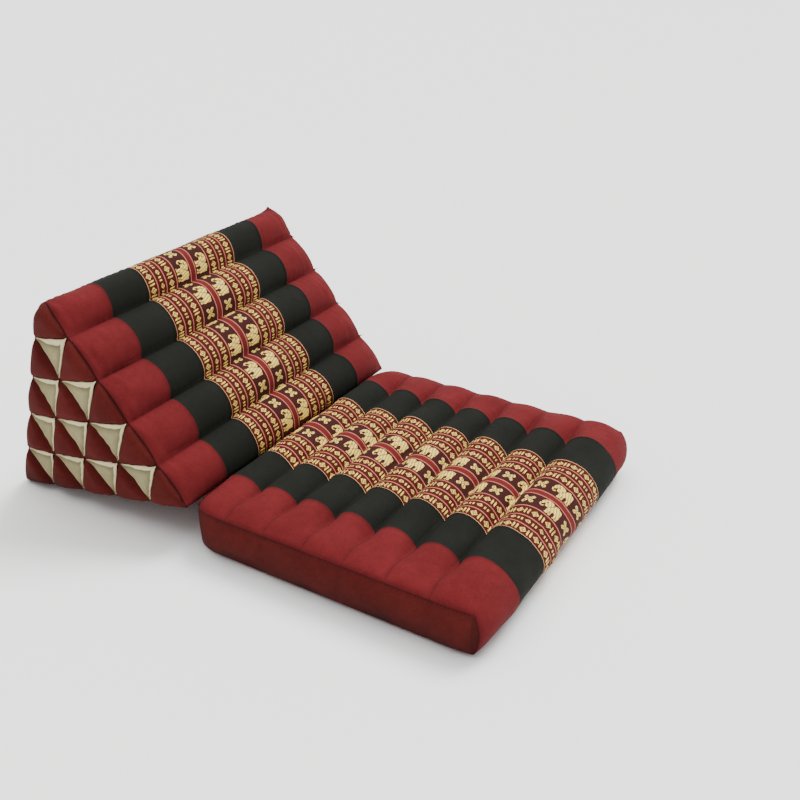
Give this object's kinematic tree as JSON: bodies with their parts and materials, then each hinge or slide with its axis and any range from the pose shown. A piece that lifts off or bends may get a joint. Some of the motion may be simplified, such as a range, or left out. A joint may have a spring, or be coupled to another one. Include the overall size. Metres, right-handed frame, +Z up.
{
  "type": "triangle cushion with fold-out mat",
  "caption": "Triangular backrest cushion of stuffed rolls with padded, pale-inset ends, joined along its lower front edge to a flat channelled mat laid out in front",
  "frame": {"origin": "on the floor, under the middle of the box around the whole cushion laid open", "axes": "+X along the rolls to the sitter's left, +Y from the mat towards the backrest, +Z up; the mat lies on the -Y side"},
  "size_m": [0.536, 0.8082, 0.3276],
  "materials": {
    "red_cotton": "plain-weave dyed cotton; woven patterned and black stripes are added in the visual model",
    "natural_cotton": "undyed plain-weave cotton",
    "dark_red_cotton": "plain-weave dyed cotton"
  },
  "bodies": {
    "root": {"backrest_cushion": "red_cotton", "mat_cushion": "red_cotton", "insert_left_1_1": "natural_cotton", "insert_left_2_1": "natural_cotton", "insert_left_2_2": "natural_cotton", "insert_left_3_1": "natural_cotton", "insert_left_3_2": "natural_cotton", "insert_left_3_3": "natural_cotton", "insert_left_4_1": "natural_cotton", "insert_left_4_2": "natural_cotton", "insert_left_4_3": "natural_cotton", "insert_left_4_4": "natural_cotton", "insert_right_1_1": "natural_cotton", "insert_right_2_1": "natural_cotton", "insert_right_2_2": "natural_cotton", "insert_right_3_1": "natural_cotton", "insert_right_3_2": "natural_cotton", "insert_right_3_3": "natural_cotton", "insert_right_4_1": "natural_cotton", "insert_right_4_2": "natural_cotton", "insert_right_4_3": "natural_cotton", "insert_right_4_4": "natural_cotton", "hinge_strip": "dark_red_cotton"}
  },
  "joints": []
}
